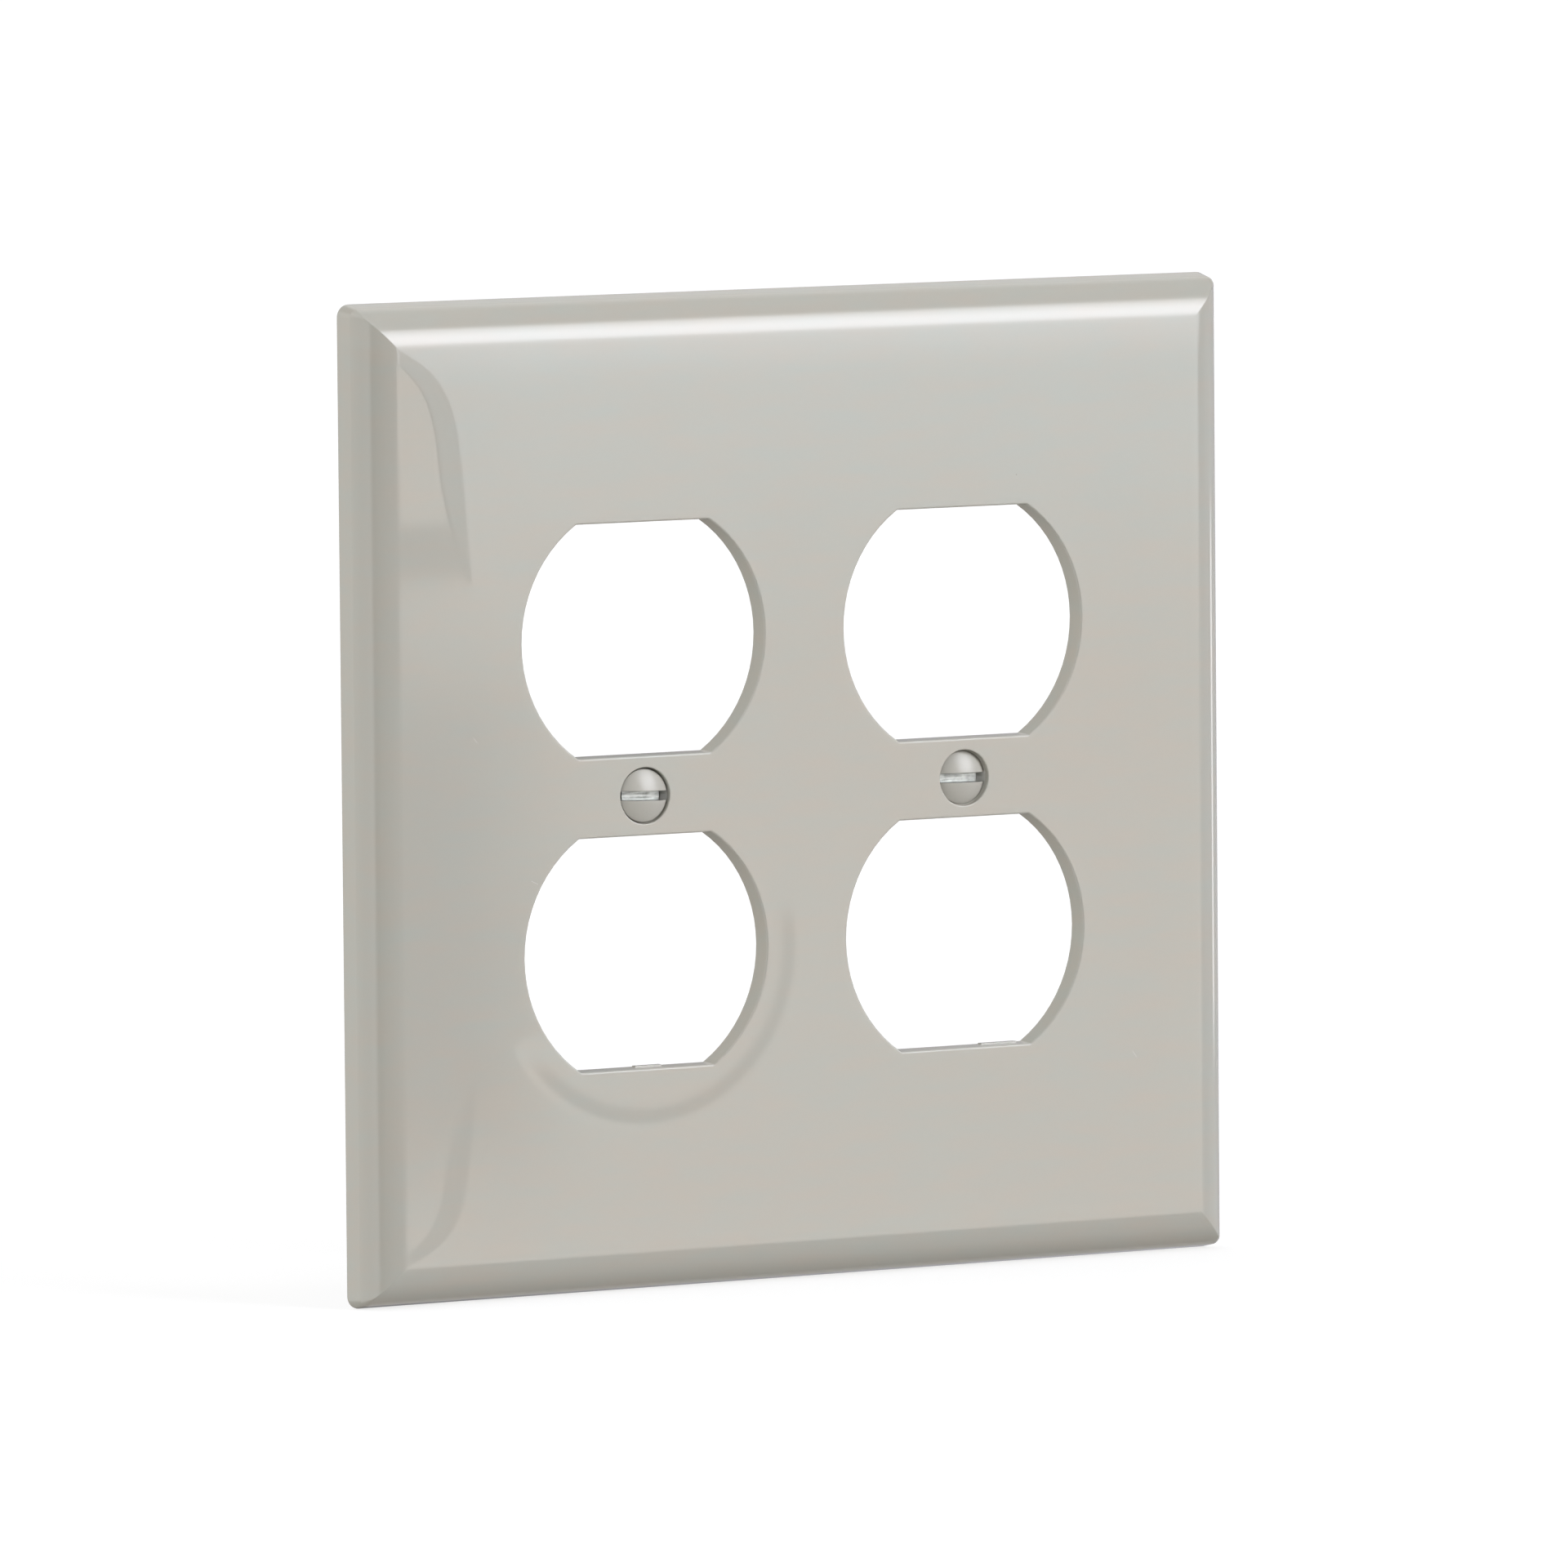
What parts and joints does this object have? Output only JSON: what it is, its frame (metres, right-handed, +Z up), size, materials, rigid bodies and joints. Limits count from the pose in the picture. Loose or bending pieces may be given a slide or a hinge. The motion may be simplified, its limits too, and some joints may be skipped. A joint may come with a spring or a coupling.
{
  "type": "wall plate",
  "caption": "Wide plastic wall plate with rounded rim and flat-topped round openings for duplex receptacles, with its slotted oval-head mounting screws.",
  "frame": {"origin": "centre of the plate's rear rim, on the wall plane", "axes": "+Y into the wall, along the screws, -Y out of the plate's face, +X to the right as seen from the front, +Z up"},
  "size_m": [0.1254, 0.0138, 0.1238],
  "materials": {
    "plate_plastic": "glossy light warm grey moulded plastic",
    "screw_paint": "gloss paint matched to the plate over zinc-plated steel, bare in the slot and on the thread"
  },
  "bodies": {
    "plate": {"wall_plate": "plate_plastic"},
    "left_screw": {"mounting_screw_left": "screw_paint"},
    "right_screw": {"mounting_screw_right": "screw_paint"}
  },
  "joints": [
    {"name": "left_screw_turn", "type": "hinge", "parent": "plate", "child": "left_screw", "pos_m": [-0.02302, 0, 0], "axis": [0, 1, 0], "continuous": true},
    {"name": "right_screw_turn", "type": "hinge", "parent": "plate", "child": "right_screw", "pos_m": [0.02302, 0, 0], "axis": [0, 1, 0], "continuous": true}
  ]
}
